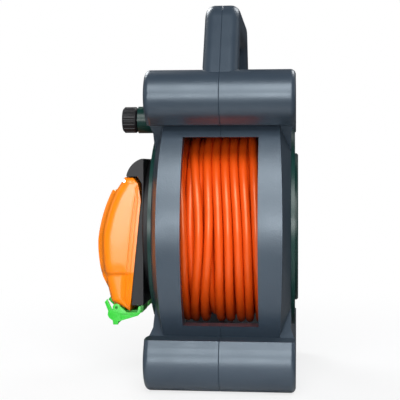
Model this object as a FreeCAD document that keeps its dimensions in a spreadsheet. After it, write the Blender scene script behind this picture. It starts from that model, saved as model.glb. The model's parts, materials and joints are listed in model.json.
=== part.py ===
"""Extension cord reel: a cased drum with a front and a rear window, a carrying handle, a crank knob,
and a two-gang splash-proof socket box that turns with the drum.

Frame: +X is the side cap's side, -X the socket side, +Y the back, +Z up. The origin is on the floor
under the middle of the casing, and the drum turns about the line along X at axle_height.
"""
import FreeCAD, Part
import math
import os
import Sketcher

V = FreeCAD.Vector

doc = FreeCAD.newDocument("CordReel")

# ---------------------------------------------------------------- driving dimensions
SIZES = [
    ("axle_height", 150.0),
    # casing
    ("waist_half_width", 66.0),
    ("barrel_half_width", 70.5),
    ("barrel_rounding", 5.0),
    ("seam_bevel", 0.45),
    ("half_depth", 125.0),
    ("casing_top", 302.0),
    ("shell_wall", 3.5),
    ("panel_radius", 161.0),
    ("panel_half_height", 100.0),
    ("window_half_width", 35.8),
    ("window_half_height", 89.0),
    ("top_barrel_radius", 25.0),
    ("top_flank_angle", 60.0),
    ("foot_barrel_radius", 29.0),
    ("foot_flank_angle", 30.0),
    ("cavity_radius", 118.0),
    ("cavity_half_width", 57.0),
    ("opening_radius", 100.4),
    ("chamfer_half_width", 58.3),
    ("chamfer_slope", 0.32),
    ("dish_radius", 125.5),
    ("handle_half_width", 17.0),
    ("handle_rounding", 9.5),
    ("handle_top", 368.5),
    ("handle_knee", 72.7),
    ("handle_lean", 29.4),
    ("handle_leg", 30.0),
    ("handle_bend", 24.0),
    ("handle_inner_bend", 11.0),
    ("grip_underside", 339.0),
    ("screw_radius", 2.5),
    ("screw_head_radius", 4.5),
    ("screw_seat", 60.0),
    # drum
    ("winding_half_width", 47.7),
    ("flange_inner", 48.0),
    ("flange_web", 3.0),
    ("flange_radius", 114.0),
    ("plateau_radius", 99.6),
    ("plateau_face", 69.5),
    ("plateau_bore", 68.0),
    ("hub_radius", 62.0),
    ("hub_wall", 4.0),
    ("hub_boss_reach", 54.0),
    ("winding_radius", 98.5),
    ("cable_diameter", 8.4),
    # crank
    ("crank_reach", 110.0),
    ("boss_radius", 13.9),
    ("boss_end", 92.8),
    ("knob_start", 93.9),
    ("knob_end", 109.0),
    ("knob_radius", 13.5),
    ("knob_pin_radius", 3.0),
    # socket box, its heights measured from the drum axis
    ("collar_radius", 71.0),
    ("collar_face", 78.6),
    ("box_half_depth", 64.0),
    ("box_bottom", 75.0),
    ("face_slope", 5.76),
    ("cover_width", 62.0),
    ("cover_offset", 34.0),
    ("cover_wall", 2.8),
    ("hinge_reach", 97.7),
    ("hinge_height", 47.0),
    ("hinge_pin_radius", 1.5),
    ("latch_reach", 104.7),
    ("latch_height", -77.1),
    ("latch_width", 30.0),
    ("latch_cheek_width", 66.4),
    ("latch_cheek", 2.0),
    ("button_height", 60.5),
    ("button_radius", 5.0),
    # plug
    ("plug_width", 50.0),
    ("plug_length", 46.0),
    ("plug_height", 19.0),
]

sheet = doc.addObject("Spreadsheet::Sheet", "Size")
for row, (alias, number) in enumerate(SIZES, start=1):
    sheet.set(f"A{row}", alias)
    sheet.set(f"B{row}", str(number))
    sheet.setAlias(f"B{row}", alias)
doc.recompute()


def value(text):
    """The number that an expression over the sheet gives now."""
    return float(sheet.evalExpression(text))


# ---------------------------------------------------------------- small modelling helpers
def start_body(label):
    body = doc.addObject("PartDesign::Body", label)
    body.Label = label
    return body


def sketch_on(body, role, name, shift="0"):
    """A sketch on one of the body's own origin planes, moved along the plane's normal."""
    plane = [feature for feature in body.Origin.OriginFeatures if feature.Role == role][0]
    sketch = body.newObject("Sketcher::SketchObject", name)
    sketch.AttachmentSupport = [(plane, "")]
    sketch.MapMode = "FlatFace"
    sketch.setExpression("AttachmentOffset.Base.z", shift)
    return sketch


def draw_profile(sketch, corners):
    """A closed profile. A corner is (x, y), or (x, y, radius, side) where an arc follows it.

    Each entry is an expression over the sheet. side is 1 for an arc that bulges to the left of the
    direction of travel, -1 to the right.
    """
    places = [V(value(corner[0]), value(corner[1]), 0) for corner in corners]
    edges = []
    for index, corner in enumerate(corners):
        here = places[index]
        there = places[(index + 1) % len(corners)]
        if len(corner) == 2:
            number = sketch.addGeometry(Part.LineSegment(here, there))
            edges.append((number, 1, 2))
            continue
        radius = value(corner[2])
        chord = there - here
        left = V(-chord.y, chord.x, 0).normalize()
        rise = radius - math.sqrt(radius ** 2 - (chord.Length / 2) ** 2)
        middle = (here + there) * 0.5 + left * (rise * corner[3])
        number = sketch.addGeometry(Part.Arc(here, middle, there))
        forward = sketch.getPoint(number, 1).distanceToPoint(here) < 1e-6
        edges.append((number, 1, 2) if forward else (number, 2, 1))
    for index, (number, first, last) in enumerate(edges):
        following = edges[(index + 1) % len(edges)]
        sketch.addConstraint(Sketcher.Constraint("Coincident", number, last, following[0], following[1]))
    for index, (number, first, last) in enumerate(edges):
        corner = corners[index]
        bind(sketch, Sketcher.Constraint("DistanceX", number, first, places[index].x), corner[0])
        bind(sketch, Sketcher.Constraint("DistanceY", number, first, places[index].y), corner[1])
        if len(corner) == 4:
            bind(sketch, Sketcher.Constraint("Radius", number, value(corner[2])), corner[2])


def draw_circle(sketch, across, up, radius):
    centre = V(value(across), value(up), 0)
    number = sketch.addGeometry(Part.Circle(centre, V(0, 0, 1), value(radius)))
    bind(sketch, Sketcher.Constraint("DistanceX", number, 3, centre.x), across)
    bind(sketch, Sketcher.Constraint("DistanceY", number, 3, centre.y), up)
    bind(sketch, Sketcher.Constraint("Radius", number, value(radius)), radius)


def draw_rectangle(sketch, left, bottom, right, top):
    draw_profile(sketch, [(left, bottom), (right, bottom), (right, top), (left, top)])


def bind(sketch, constraint, text):
    number = sketch.addConstraint(constraint)
    sketch.setExpression(f"Constraints[{number}]", text)


def extrude(body, kind, sketch, length, reverse=False, midplane=False):
    """A Pad or Pocket of the sketch. A pocket has to take something away."""
    before = solid_volume(body)
    feature = body.newObject(f"PartDesign::{kind}", f"{sketch.Name}_{kind}")
    feature.Profile = sketch
    feature.Reversed = reverse
    feature.Midplane = midplane
    feature.setExpression("Length", length)
    check_change(body, kind, before, sketch.Name)
    return feature


def revolve(body, kind, sketch, angle=360.0):
    """A Revolution or Groove about the sketch's own horizontal axis."""
    before = solid_volume(body)
    feature = body.newObject(f"PartDesign::{kind}", f"{sketch.Name}_{kind}")
    feature.Profile = sketch
    feature.ReferenceAxis = (sketch, ["H_Axis"])
    feature.Angle = angle
    feature.Midplane = angle < 360.0
    check_change(body, kind, before, sketch.Name)
    return feature


def solid_volume(body):
    return body.Shape.Volume if body.Tip else 0.0


def check_change(body, kind, before, name):
    doc.recompute()
    after = body.Shape.Volume
    grows = kind in ("Pad", "Revolution")
    if after <= before if grows else after >= before:
        raise RuntimeError(f"{body.Label}: {name} went the wrong way, {before:.0f} to {after:.0f}")


def round_edges(body, name, radius, wanted):
    """A PartDesign fillet on the edges that wanted() picks from the body's last feature."""
    base = body.Tip
    names = [f"Edge{number}" for number, edge in enumerate(base.Shape.Edges, start=1) if wanted(edge)]
    fillet = body.newObject("PartDesign::Fillet", name)
    fillet.Base = (base, names)
    fillet.setExpression("Radius", radius)
    doc.recompute()
    return fillet


def bevel_edges(body, name, size, wanted):
    """A PartDesign chamfer on the edges that wanted() picks from the body's last feature."""
    base = body.Tip
    names = [f"Edge{number}" for number, edge in enumerate(base.Shape.Edges, start=1) if wanted(edge)]
    bevel = body.newObject("PartDesign::Chamfer", name)
    bevel.Base = (base, names)
    bevel.setExpression("Size", size)
    doc.recompute()
    return bevel


def at_axle(body):
    body.setExpression("Placement.Base.z", "Size.axle_height")


def turned(label, corners):
    """A body turned about the drum axis from corners given as (along X, radius)."""
    body = start_body(label)
    at_axle(body)
    sketch = sketch_on(body, "XY_Plane", f"{label}_section")
    draw_profile(sketch, corners)
    revolve(body, "Revolution", sketch)
    return body


def group(label, links):
    compound = doc.addObject("Part::Compound", label)
    compound.Links = links
    compound.Label = label
    return compound


# ---------------------------------------------------------------- casing halves
TOP_REACH = "(Size.half_depth - Size.top_barrel_radius)"
TOP_AXIS = "(Size.casing_top - Size.top_barrel_radius)"
FOOT_REACH = "(Size.half_depth - Size.foot_barrel_radius)"
PANEL_TOP = "(Size.axle_height + Size.panel_half_height)"
PANEL_FOOT = "(Size.axle_height - Size.panel_half_height)"
PANEL_END = "(sqrt(Size.panel_radius ^ 2 - Size.panel_half_height ^ 2) - Size.panel_radius + Size.half_depth)"


def barrel_corners(inset):
    """Half of the casing's side outline, top to bottom at the front, drawn inset by some text."""
    top_radius = f"(Size.top_barrel_radius - {inset})"
    foot_radius = f"(Size.foot_barrel_radius - {inset})"
    top_flank_y = f"({TOP_REACH} + {top_radius} * cos(Size.top_flank_angle))"
    top_flank_z = f"({TOP_AXIS} - {top_radius} * sin(Size.top_flank_angle))"
    top_lip_z = f"({PANEL_TOP} + {inset})"
    top_lip_y = f"({top_flank_y} - ({top_flank_z} - {top_lip_z}) * tan(Size.top_flank_angle))"
    foot_flank_y = f"({FOOT_REACH} + {foot_radius} * cos(Size.foot_flank_angle))"
    foot_flank_z = f"(Size.foot_barrel_radius + {foot_radius} * sin(Size.foot_flank_angle))"
    foot_lip_z = f"({PANEL_FOOT} - {inset})"
    foot_lip_y = f"({foot_flank_y} - ({foot_lip_z} - {foot_flank_z}) * tan(Size.foot_flank_angle))"
    top = [
        (TOP_REACH, f"Size.casing_top - {inset}", top_radius),
        (top_flank_y, top_flank_z),
        (top_lip_y, top_lip_z),
    ]
    foot = [
        (foot_lip_y, foot_lip_z),
        (foot_flank_y, foot_flank_z, foot_radius),
        (FOOT_REACH, inset),
    ]
    return top, foot


def mirrored_profile(front_half):
    """A closed profile from its front half, listed top to bottom with positive distances.

    A three-entry corner starts an arc, so on the way back up its arc hangs on the corner before it.
    """
    down = [(f"-{c[0]}", c[1]) if len(c) == 2 else (f"-{c[0]}", c[1], c[2], -1) for c in front_half]
    up = []
    for index in range(len(front_half) - 1, -1, -1):
        corner = front_half[index]
        above = front_half[index - 1] if index else None
        if above is not None and len(above) == 3:
            up.append((corner[0], corner[1], above[2], -1))
        else:
            up.append((corner[0], corner[1]))
    return down + up


def left_casing():
    body = start_body("left_casing")
    loop = add_handle(body)
    top, foot = barrel_corners("0")
    outline = sketch_on(body, "YZ_Plane", "casing_outline")
    panel = [(PANEL_END, PANEL_TOP, "Size.panel_radius"), (PANEL_END, PANEL_FOOT)]
    draw_profile(outline, mirrored_profile(top + panel + foot))
    extrude(body, "Pad", outline, "Size.barrel_half_width", reverse=True)
    side = -value("Size.barrel_half_width")
    round_edges(body, "barrel_edge", "Size.barrel_rounding", lambda edge: is_in_plane(edge, side) and on_barrel(edge))
    dish_the_side(body)
    hollow_for_drum(body)
    cut_windows(body)
    chamfer_the_panels(body)
    hollow_the_blocks(body)
    add_screw_bosses(body)
    bevel_edges(body, "seam", "Size.seam_bevel",
                lambda edge: is_in_plane(edge, 0.0) and (lies_on(edge, outline) or lies_on(edge, loop)))
    close_the_floor_seam(body)
    return body


def close_the_floor_seam(body):
    """A strip that fills the bevel under the foot, so that the halves meet in one flat floor."""
    strip = sketch_on(body, "YZ_Plane", "floor_strip")
    draw_rectangle(strip, f"-{FOOT_REACH}", "0", FOOT_REACH, "2 * Size.seam_bevel")
    extrude(body, "Pad", strip, "2 * Size.seam_bevel", reverse=True)


def lies_on(edge, sketch):
    """Whether the edge's middle is on the sketch's curves."""
    middle = edge.valueAt((edge.FirstParameter + edge.LastParameter) / 2)
    return sketch.Shape.distToShape(Part.Vertex(middle))[0] < 1e-3


def is_in_plane(edge, x):
    box = edge.BoundBox
    return abs(box.XMin - x) < 1e-3 and abs(box.XMax - x) < 1e-3


def on_barrel(edge):
    """The outline's own edges away from the panels."""
    box = edge.BoundBox
    return box.ZMin > value(PANEL_TOP) + 0.1 or box.ZMax < value(PANEL_FOOT) - 0.1


def add_handle(body):
    """The bail handle: a bar with two legs that lean in towards the grip."""
    half_turn = "(90 - Size.handle_lean) / 2"
    outer_set_back = f"(Size.handle_bend * tan({half_turn}))"
    inner_set_back = f"(Size.handle_inner_bend * tan({half_turn}))"
    rise = "(Size.handle_top - Size.casing_top + 6)"
    inner_knee = ("(Size.handle_knee - Size.handle_leg"
                  " + (Size.handle_top - Size.grip_underside) * tan(Size.handle_lean))")
    grip_rise = "(Size.grip_underside - Size.casing_top + 6)"
    outer = [
        (f"Size.handle_knee + {rise} * tan(Size.handle_lean)", "Size.casing_top - 6"),
        (f"Size.handle_knee + {outer_set_back} * sin(Size.handle_lean)",
         f"Size.handle_top - {outer_set_back} * cos(Size.handle_lean)"),
        (f"Size.handle_knee - {outer_set_back}", "Size.handle_top"),
    ]
    inner = [
        (f"{inner_knee} - {inner_set_back}", "Size.grip_underside"),
        (f"{inner_knee} + {inner_set_back} * sin(Size.handle_lean)",
         f"Size.grip_underside - {inner_set_back} * cos(Size.handle_lean)"),
        (f"{inner_knee} + {grip_rise} * tan(Size.handle_lean)", "Size.casing_top - 6"),
    ]
    profile = [(f"-({y})", z) for y, z in outer] + [(y, z) for y, z in reversed(outer)]
    profile += [(y, z) for y, z in reversed(inner)] + [(f"-({y})", z) for y, z in inner]
    profile[1] += ("Size.handle_bend", 1)
    profile[3] += ("Size.handle_bend", 1)
    profile[7] += ("Size.handle_inner_bend", -1)
    profile[9] += ("Size.handle_inner_bend", -1)
    loop = sketch_on(body, "YZ_Plane", "handle_outline")
    draw_profile(loop, profile)
    extrude(body, "Pad", loop, "Size.handle_half_width", reverse=True)
    side = -value("Size.handle_half_width")
    round_edges(body, "handle_edge", "Size.handle_rounding", lambda edge: is_in_plane(edge, side))
    return loop


def dish_the_side(body):
    """The flat side round the drum, with a sloping rim out to the barrels."""
    section = sketch_on(body, "XY_Plane", "side_dish", "Size.axle_height")
    draw_profile(section, [
        ("-Size.barrel_half_width - 1", "0"),
        ("-Size.waist_half_width", "0"),
        ("-Size.waist_half_width", "Size.dish_radius"),
        ("-Size.barrel_half_width", "Size.dish_radius + 15"),
        ("-Size.barrel_half_width - 1", "Size.dish_radius + 15"),
    ])
    revolve(body, "Groove", section)


def hollow_for_drum(body):
    space = sketch_on(body, "YZ_Plane", "drum_space")
    draw_circle(space, "0", "Size.axle_height", "Size.cavity_radius")
    extrude(body, "Pocket", space, "Size.cavity_half_width")
    opening = sketch_on(body, "YZ_Plane", "drum_opening")
    draw_circle(opening, "0", "Size.axle_height", "Size.opening_radius")
    extrude(body, "Pocket", opening, "Size.barrel_half_width + 1")


def cut_windows(body):
    for name, near, far in (("front", "-Size.half_depth - 1", "-40"), ("rear", "40", "Size.half_depth + 1")):
        window = sketch_on(body, "YZ_Plane", f"{name}_window")
        low = "Size.axle_height - Size.window_half_height"
        high = "Size.axle_height + Size.window_half_height"
        draw_rectangle(window, near, low, far, high)
        extrude(body, "Pocket", window, "Size.window_half_width")


def chamfer_the_panels(body):
    """Both panels slope back to the waist on a cone about the drum axis."""
    corner_radius = f"sqrt({PANEL_END} ^ 2 + Size.panel_half_height ^ 2) + 0.1"
    inner_radius = "Size.half_depth - (Size.waist_half_width + 1 - Size.chamfer_half_width) / Size.chamfer_slope"
    corner_width = f"Size.chamfer_half_width - ({corner_radius} - Size.half_depth) * Size.chamfer_slope"
    for name, sign in (("front", "-"), ("rear", "")):
        section = sketch_on(body, "XY_Plane", f"{name}_chamfer", "Size.axle_height")
        draw_profile(section, [
            ("-Size.waist_half_width - 1", f"{sign}({inner_radius})"),
            (f"-({corner_width})", f"{sign}({corner_radius})"),
            ("-Size.barrel_half_width - 1", f"{sign}({corner_radius})"),
            ("-Size.barrel_half_width - 1", f"{sign}({inner_radius})"),
        ])
        sector = 2 * math.degrees(math.atan2(value("Size.panel_half_height"), value(PANEL_END)))
        revolve(body, "Groove", section, sector)


def hollow_the_blocks(body):
    """The hollows inside the top and foot blocks, up to a skin round the drum space."""
    skin = "(Size.cavity_radius + Size.shell_wall)"
    depth = "Size.waist_half_width - Size.shell_wall"
    top, foot = barrel_corners("Size.shell_wall")
    top_z = f"({PANEL_TOP} + Size.shell_wall)"
    foot_z = f"({PANEL_FOOT} - Size.shell_wall)"
    top_y = f"sqrt({skin} ^ 2 - ({top_z} - Size.axle_height) ^ 2)"
    foot_y = f"sqrt({skin} ^ 2 - (Size.axle_height - {foot_z}) ^ 2)"
    front = [(f"-{c[0]}", c[1]) if len(c) == 2 else (f"-{c[0]}", c[1], c[2], -1) for c in top]
    rear = [(top[2][0], top[2][1]), (top[1][0], top[1][1], top[0][2], -1), (top[0][0], top[0][1])]
    arch = [(f"-({top_y})", top_z, skin, 1), (f"{top_y}", top_z)]
    hollow = sketch_on(body, "YZ_Plane", "top_hollow")
    draw_profile(hollow, front + arch + rear)
    extrude(body, "Pocket", hollow, depth)
    front = [(f"-{c[0]}", c[1]) if len(c) == 2 else (f"-{c[0]}", c[1], c[2], -1) for c in foot]
    rear = [(foot[2][0], foot[2][1], foot[1][2], -1), (foot[1][0], foot[1][1]), (foot[0][0], foot[0][1])]
    arch = [(f"{foot_y}", foot_z, skin, 1), (f"-({foot_y})", foot_z)]
    hollow = sketch_on(body, "YZ_Plane", "foot_hollow")
    draw_profile(hollow, front + rear + arch)
    extrude(body, "Pocket", hollow, depth)


SCREW_PLACES = [("-1 * (Size.half_depth - 30)", "30"), ("Size.half_depth - 30", "30"),
                ("-1 * (Size.half_depth - 30)", "274"), ("Size.half_depth - 30", "274")]


def add_screw_bosses(body):
    bosses = sketch_on(body, "YZ_Plane", "screw_bosses")
    for across, up in SCREW_PLACES:
        draw_circle(bosses, across, up, "Size.screw_head_radius + 3")
    extrude(body, "Pad", bosses, "Size.waist_half_width - 1", reverse=True)
    bores = sketch_on(body, "YZ_Plane", "screw_bores")
    for across, up in SCREW_PLACES:
        draw_circle(bores, across, up, "Size.screw_radius")
    extrude(body, "Pocket", bores, "Size.screw_seat + 1")
    wells = sketch_on(body, "YZ_Plane", "screw_wells", "-Size.screw_seat")
    for across, up in SCREW_PLACES:
        draw_circle(wells, across, up, "Size.screw_head_radius + 1")
    extrude(body, "Pocket", wells, "20")


def right_casing(left):
    """The right half is the left half's mirror image."""
    mirror = doc.addObject("Part::Mirroring", "right_casing")
    mirror.Source = left
    mirror.Normal = V(1, 0, 0)
    mirror.Label = "right_casing"
    return mirror


def casing_screws():
    """Four through screws along X that clamp the halves: socket heads on the left, nuts on the right."""
    screws = []
    for index, (across, up) in enumerate(SCREW_PLACES, start=1):
        shank = rod_along_x(f"screw_shank_{index}", "Size.screw_radius - 0.2", "-Size.screw_seat - 1",
                            "2 * Size.screw_seat + 5", across, up)
        head = rod_along_x(f"screw_head_{index}", "Size.screw_head_radius", "-Size.screw_seat - 3.5", "3.5",
                           across, up)
        socket = hexagon_along_x(f"screw_socket_{index}", "2.2", "-Size.screw_seat - 3.6", "2.1", across, up)
        nut = hexagon_along_x(f"screw_nut_{index}", "Size.screw_head_radius", "Size.screw_seat", "3", across, up)
        solid = doc.addObject("Part::MultiFuse", f"screw_solid_{index}")
        solid.Shapes = [shank, head, nut]
        screw = doc.addObject("Part::Cut", f"casing_screw_{index}")
        screw.Base = solid
        screw.Tool = socket
        screws.append(screw)
    return group("casing_screws", screws)


def rod_along_x(name, radius, start, length, across, up):
    rod = doc.addObject("Part::Cylinder", name)
    rod.setExpression("Radius", radius)
    rod.setExpression("Height", length)
    return lay_along_x(rod, start, across, up)


def hexagon_along_x(name, radius, start, length, across, up):
    prism = doc.addObject("Part::Prism", name)
    prism.Polygon = 6
    prism.setExpression("Circumradius", radius)
    prism.setExpression("Height", length)
    return lay_along_x(prism, start, across, up)


def lay_along_x(item, start, across, up):
    item.Placement.Rotation = FreeCAD.Rotation(V(0, 1, 0), 90)
    item.setExpression("Placement.Base.x", start)
    item.setExpression("Placement.Base.y", across)
    item.setExpression("Placement.Base.z", up)
    return item


# ---------------------------------------------------------------- drum
def drum_flange(label, side):
    """A dished flange: a web beside the winding, a journal wall and a flat face outside the casing."""
    web_outer = f"{side}(Size.flange_inner + Size.flange_web)"
    face_inner = f"{side}(Size.plateau_face - Size.flange_web)"
    journal_bore = "Size.plateau_radius - Size.flange_web"
    corners = [
        (f"{side}Size.flange_inner", "Size.hub_boss_reach - 6"),
        (f"{side}Size.flange_inner", "Size.flange_radius"),
        (web_outer, "Size.flange_radius"),
        (web_outer, "Size.plateau_radius"),
        (f"{side}Size.plateau_face", "Size.plateau_radius"),
        (f"{side}Size.plateau_face", "Size.plateau_bore"),
        (face_inner, "Size.plateau_bore"),
        (face_inner, journal_bore),
        (web_outer, journal_bore),
        (web_outer, "Size.hub_boss_reach - 6"),
    ]
    flange = turned(label, corners)
    bores = sketch_on(flange, "YZ_Plane", f"{label}_bores")
    draw_ring_of_circles(bores, "Size.hub_boss_reach", "1.9")
    extrude(flange, "Pocket", bores, "Size.barrel_half_width", reverse=side == "")
    return flange


def draw_ring_of_circles(sketch, reach, radius, count=3, start=90):
    for index in range(count):
        turn = start + index * 360 / count
        draw_circle(sketch, f"{reach} * cos({turn})", f"{reach} * sin({turn})", radius)


def drum_hub():
    half = "Size.flange_inner"
    hub = turned("drum_hub", [
        (f"-{half}", "Size.hub_radius - Size.hub_wall"),
        (half, "Size.hub_radius - Size.hub_wall"),
        (half, "Size.hub_radius"),
        (f"-{half}", "Size.hub_radius"),
    ])
    bosses = sketch_on(hub, "YZ_Plane", "hub_bosses", f"-{half}")
    draw_ring_of_circles(bosses, "Size.hub_boss_reach", "5")
    extrude(hub, "Pad", bosses, f"2 * {half}")
    bores = sketch_on(hub, "YZ_Plane", "hub_bores")
    draw_ring_of_circles(bores, "Size.hub_boss_reach", "1.9")
    extrude(hub, "Pocket", bores, f"2 * {half}", midplane=True)
    gland = sketch_on(hub, "XY_Plane", "gland_hole", "-Size.hub_radius - 1")
    draw_circle(gland, "-30", "0", "7")
    extrude(hub, "Pocket", gland, "Size.hub_wall + 12", reverse=True)
    return hub


def hub_screws():
    screws = []
    for side, name in ((-1, "left"), (1, "right")):
        for index in range(3):
            turn = 90 + index * 120
            screw = doc.addObject("Part::Feature", f"hub_screw_{name}_{index + 1}")
            start = side * (value("Size.flange_inner") + value("Size.flange_web"))
            shank = Part.makeCylinder(1.7, 18, V(start, 0, 0), V(-side, 0, 0))
            head = Part.makeCylinder(3.4, 2.2, V(start, 0, 0), V(side, 0, 0))
            screw.Shape = shank.fuse(head).removeSplitter()
            reach = value("Size.hub_boss_reach")
            across = reach * math.cos(math.radians(turn))
            up = reach * math.sin(math.radians(turn)) + value("Size.axle_height")
            screw.Placement = FreeCAD.Placement(V(0, across, up), FreeCAD.Rotation())
            screws.append(screw)
    return group("hub_screws", screws)


def side_cap():
    """The round cap that closes the drum's free side."""
    face = "Size.plateau_face"
    cap = turned("side_cap", [
        (f"{face} - 9.5", "Size.plateau_bore - 3.4"),
        (f"{face}", "Size.plateau_bore - 3.4"),
        (f"{face}", "0"),
        (f"{face} + 3.2", "0"),
        (f"{face} + 3.2", "Size.collar_radius + 2.5"),
        (f"{face} + 1.7", "Size.collar_radius + 4"),
        (f"{face}", "Size.collar_radius + 4"),
        (f"{face}", "Size.plateau_bore - 0.4"),
        (f"{face} - 9.5", "Size.plateau_bore - 0.4"),
    ])
    return cap


def collar_ring():
    face = "Size.plateau_face"
    return turned("collar_ring", [
        (f"-{face}", "Size.plateau_bore + 0.3"),
        (f"-{face}", "Size.collar_radius"),
        ("-Size.collar_face + 1", "Size.collar_radius"),
        ("-Size.collar_face", "Size.collar_radius - 1"),
        ("-Size.collar_face", "Size.plateau_bore + 0.3"),
    ])


def cable_winding():
    outer = doc.addObject("Part::Cylinder", "winding_outside")
    inner = doc.addObject("Part::Cylinder", "winding_inside")
    outer.setExpression("Radius", "Size.winding_radius")
    inner.setExpression("Radius", "Size.hub_radius + 0.3")
    for cylinder in (outer, inner):
        cylinder.setExpression("Height", "2 * Size.winding_half_width")
        cylinder.Placement.Rotation = FreeCAD.Rotation(V(0, 1, 0), 90)
        cylinder.setExpression("Placement.Base.x", "-Size.winding_half_width")
        cylinder.setExpression("Placement.Base.z", "Size.axle_height")
    ring = doc.addObject("Part::Cut", "cable_winding")
    ring.Base = outer
    ring.Tool = inner
    ring.Label = "cable_winding"
    return ring


def cable_gland():
    """The bush where the cable goes in through the hub's wall."""
    gland = start_body("cable_gland")
    at_axle(gland)
    collar = sketch_on(gland, "XY_Plane", "gland_collar", "-Size.hub_radius + 0.5")
    draw_circle(collar, "-30", "0", "6.8")
    extrude(gland, "Pad", collar, "11")
    nut = sketch_on(gland, "XY_Plane", "gland_nut", "-Size.hub_radius + Size.hub_wall + 1.6")
    draw_circle(nut, "-30", "0", "9.5")
    extrude(gland, "Pad", nut, "6")
    bore = sketch_on(gland, "XY_Plane", "gland_bore", "-Size.hub_radius")
    draw_circle(bore, "-30", "0", "Size.cable_diameter / 2 + 0.5")
    extrude(gland, "Pocket", bore, "30", reverse=True)
    return gland


# ---------------------------------------------------------------- crank
def crank_arm():
    arm = start_body("crank_arm")
    at_axle(arm)
    face = "Size.plateau_face"
    lug = sketch_on(arm, "YZ_Plane", "crank_lug", f"-{face}")
    draw_profile(lug, [
        ("-Size.boss_radius", "Size.crank_reach"),
        ("-22", "82"),
        ("22", "82"),
        ("Size.boss_radius", "Size.crank_reach", "Size.boss_radius + 0.01", -1),
    ])
    extrude(arm, "Pad", lug, "2.5", reverse=True)
    boss = sketch_on(arm, "YZ_Plane", "crank_boss", f"-{face} - 2.5")
    draw_circle(boss, "0", "Size.crank_reach", "Size.boss_radius")
    extrude(arm, "Pad", boss, f"Size.boss_end - {face} - 2.5", reverse=True)
    back = sketch_on(arm, "YZ_Plane", "crank_back", f"-{face}")
    draw_rectangle(back, "-9", "Size.opening_radius + 0.4", "9", "Size.crank_reach + 10")
    extrude(arm, "Pad", back, "2.2")
    bore = sketch_on(arm, "YZ_Plane", "crank_bore", "-Size.boss_end")
    draw_circle(bore, "0", "Size.crank_reach", "Size.knob_pin_radius")
    extrude(arm, "Pocket", bore, "14", reverse=True)
    return arm


def at_crank(body):
    body.setExpression("Placement.Base.z", "Size.axle_height + Size.crank_reach")


def crank_knob():
    """The fluted knob that turns on its own pin."""
    knob = start_body("crank_knob")
    at_crank(knob)
    section = sketch_on(knob, "XY_Plane", "knob_section")
    bore = "Size.knob_pin_radius + 0.05"
    draw_profile(section, [
        ("-Size.knob_start", bore),
        ("-Size.knob_start", "Size.knob_radius - 1.5"),
        ("-Size.knob_start - 1.5", "Size.knob_radius"),
        ("-Size.knob_end + 2", "Size.knob_radius"),
        ("-Size.knob_end", "Size.knob_radius - 2"),
        ("-Size.knob_end", "7"),
        ("-Size.knob_end + 4", "7"),
        ("-Size.knob_end + 4", bore),
    ])
    revolve(knob, "Revolution", section)
    flute = sketch_on(knob, "YZ_Plane", "knob_flute", "-Size.knob_end - 1")
    draw_circle(flute, "Size.knob_radius + 0.6", "0", "1.5")
    cut = extrude(knob, "Pocket", flute, "Size.knob_end - Size.knob_start - 1", reverse=True)
    pattern = knob.newObject("PartDesign::PolarPattern", "knob_flutes")
    pattern.Originals = [cut]
    axis = [feature for feature in knob.Origin.OriginFeatures if feature.Role == "X_Axis"][0]
    pattern.Axis = (axis, [""])
    pattern.Angle = 360.0
    pattern.Occurrences = 18
    knob.Tip = pattern
    doc.recompute()
    return knob


def knob_screw():
    pin = start_body("knob_screw")
    at_crank(pin)
    section = sketch_on(pin, "XY_Plane", "pin_section")
    draw_profile(section, [
        ("-Size.boss_end + 14", "0"),
        ("-Size.boss_end + 14", "Size.knob_pin_radius"),
        ("-Size.knob_end + 3.7", "Size.knob_pin_radius"),
        ("-Size.knob_end + 3.7", "6"),
        ("-Size.knob_end + 1", "6"),
        ("-Size.knob_end + 1", "0"),
    ])
    revolve(pin, "Revolution", section)
    return pin


# ---------------------------------------------------------------- socket box
# Heights here are measured from the drum axis, and distances are along -X from the middle.
GANGS = [("front", "-Size.cover_offset"), ("rear", "Size.cover_offset")]


def along_x(points):
    return [(f"-({point[0]})",) + tuple(point[1:]) for point in points]


def socket_housing():
    """The black box behind the covers, with a hood over their hinges."""
    housing = start_body("socket_housing")
    at_axle(housing)
    outline = sketch_on(housing, "XZ_Plane", "housing_outline")
    draw_profile(outline, along_x([
        ("Size.collar_face", "-Size.box_bottom"),
        ("Size.collar_face", "69"),
        ("Size.collar_face + 2.3", "68.8", "22", -1),
        ("95.6", "51.6"),
        ("84.3", "51.6"),
        ("79.8", "44"),
        ("79.8", "27.7"),
        ("90", "-Size.box_bottom"),
    ]))
    extrude(housing, "Pad", outline, "2 * Size.box_half_depth", midplane=True)
    spigot = sketch_on(housing, "YZ_Plane", "housing_spigot", "-Size.collar_face - 0.5")
    draw_circle(spigot, "0", "0", "Size.plateau_bore - 0.4")
    extrude(housing, "Pad", spigot, "Size.collar_face - 60")
    hollow = sketch_on(housing, "YZ_Plane", "housing_hollow", "-Size.collar_face + 2")
    draw_circle(hollow, "0", "0", "Size.plateau_bore - 3.4")
    extrude(housing, "Pocket", hollow, "30", reverse=True)
    for name, centre in GANGS:
        add_hinge_ear(housing, name, centre)
        window = sketch_on(housing, "YZ_Plane", f"{name}_socket_hole")
        draw_rectangle(window, f"{centre} - 17.3", "-39.5", f"{centre} + 17.3", "1.5")
        extrude(housing, "Pocket", window, "100")
    button_hole = sketch_on(housing, "YZ_Plane", "button_hole", "-79.6")
    draw_circle(button_hole, "0", "Size.button_height", "Size.button_radius + 0.3")
    extrude(housing, "Pocket", button_hole, "30")
    return housing


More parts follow.
